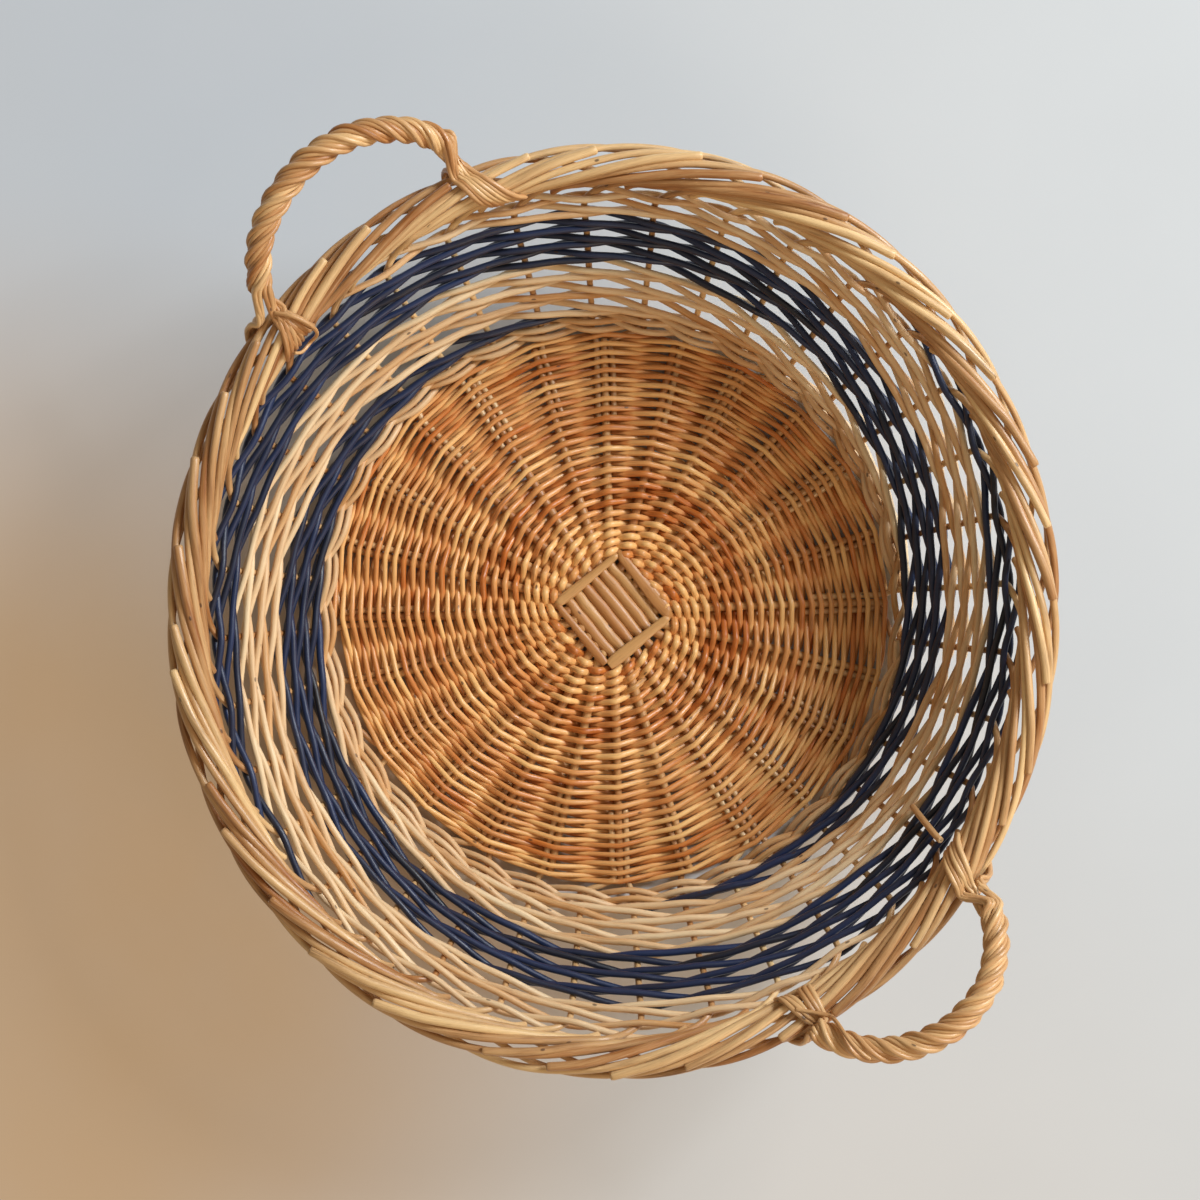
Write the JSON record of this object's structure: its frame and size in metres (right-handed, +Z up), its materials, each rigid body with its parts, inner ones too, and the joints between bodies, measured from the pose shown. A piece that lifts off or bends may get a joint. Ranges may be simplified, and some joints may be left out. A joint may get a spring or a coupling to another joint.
{
  "type": "wicker tray",
  "caption": "Round willow tray with a flared woven wall, a rolled plait border and two twisted rod handles set across from each other.",
  "frame": {"origin": "centre of the base's underside, which is the middle of the part's outline seen from above", "axes": "+Z up along the tray's axis, +X to the right and +Y away, as the handles lie at upper left and lower right"},
  "size_m": [0.3916, 0.4132, 0.1295],
  "materials": {
    "natural_willow": "satin peeled willow",
    "stick_willow": "satin peeled willow",
    "border_willow": "satin peeled willow",
    "rope_willow": "satin peeled willow",
    "navy_willow": "willow dyed dark blue, satin"
  },
  "bodies": {
    "root": {"pierced_stick_1": "stick_willow", "pierced_stick_2": "stick_willow", "pierced_stick_3": "stick_willow", "pierced_stick_4": "stick_willow", "pierced_stick_5": "stick_willow", "pierced_stick_6": "stick_willow", "through_stick_1": "stick_willow", "through_stick_2": "stick_willow", "through_stick_3": "stick_willow", "through_stick_4": "stick_willow", "through_stick_5": "stick_willow", "through_stick_6": "stick_willow", "slath_tie_1": "natural_willow", "slath_tie_2": "natural_willow", "side_stakes_1": "border_willow", "side_stakes_2": "border_willow", "side_stakes_3": "border_willow", "side_stakes_4": "border_willow", "natural_weaver_1": "natural_willow", "natural_weaver_2": "natural_willow", "natural_weaver_3": "natural_willow", "natural_weaver_4": "natural_willow", "natural_weaver_5": "natural_willow", "natural_weaver_6": "natural_willow", "natural_weaver_7": "natural_willow", "natural_weaver_8": "natural_willow", "natural_weaver_9": "natural_willow", "navy_weaver_10": "navy_willow", "navy_weaver_11": "navy_willow", "navy_weaver_12": "navy_willow", "navy_weaver_13": "navy_willow", "navy_weaver_14": "navy_willow", "navy_weaver_15": "navy_willow", "navy_weaver_16": "navy_willow", "navy_weaver_17": "navy_willow", "navy_weaver_18": "navy_willow", "natural_weaver_19": "natural_willow", "natural_weaver_20": "natural_willow", "natural_weaver_21": "natural_willow", "natural_weaver_22": "natural_willow", "natural_weaver_23": "natural_willow", "natural_weaver_24": "natural_willow", "natural_weaver_25": "natural_willow", "natural_weaver_26": "natural_willow", "natural_weaver_27": "natural_willow", "navy_weaver_28": "navy_willow", "navy_weaver_29": "navy_willow", "navy_weaver_30": "navy_willow", "navy_weaver_31": "navy_willow", "navy_weaver_32": "navy_willow", "navy_weaver_33": "navy_willow", "navy_weaver_34": "navy_willow", "navy_weaver_35": "navy_willow", "navy_weaver_36": "navy_willow", "wale_rod_1": "natural_willow", "wale_rod_2": "natural_willow", "wale_rod_3": "natural_willow", "base_weave": "natural_willow", "handle_upper_left": "rope_willow", "handle_lower_right": "rope_willow"}
  },
  "joints": []
}
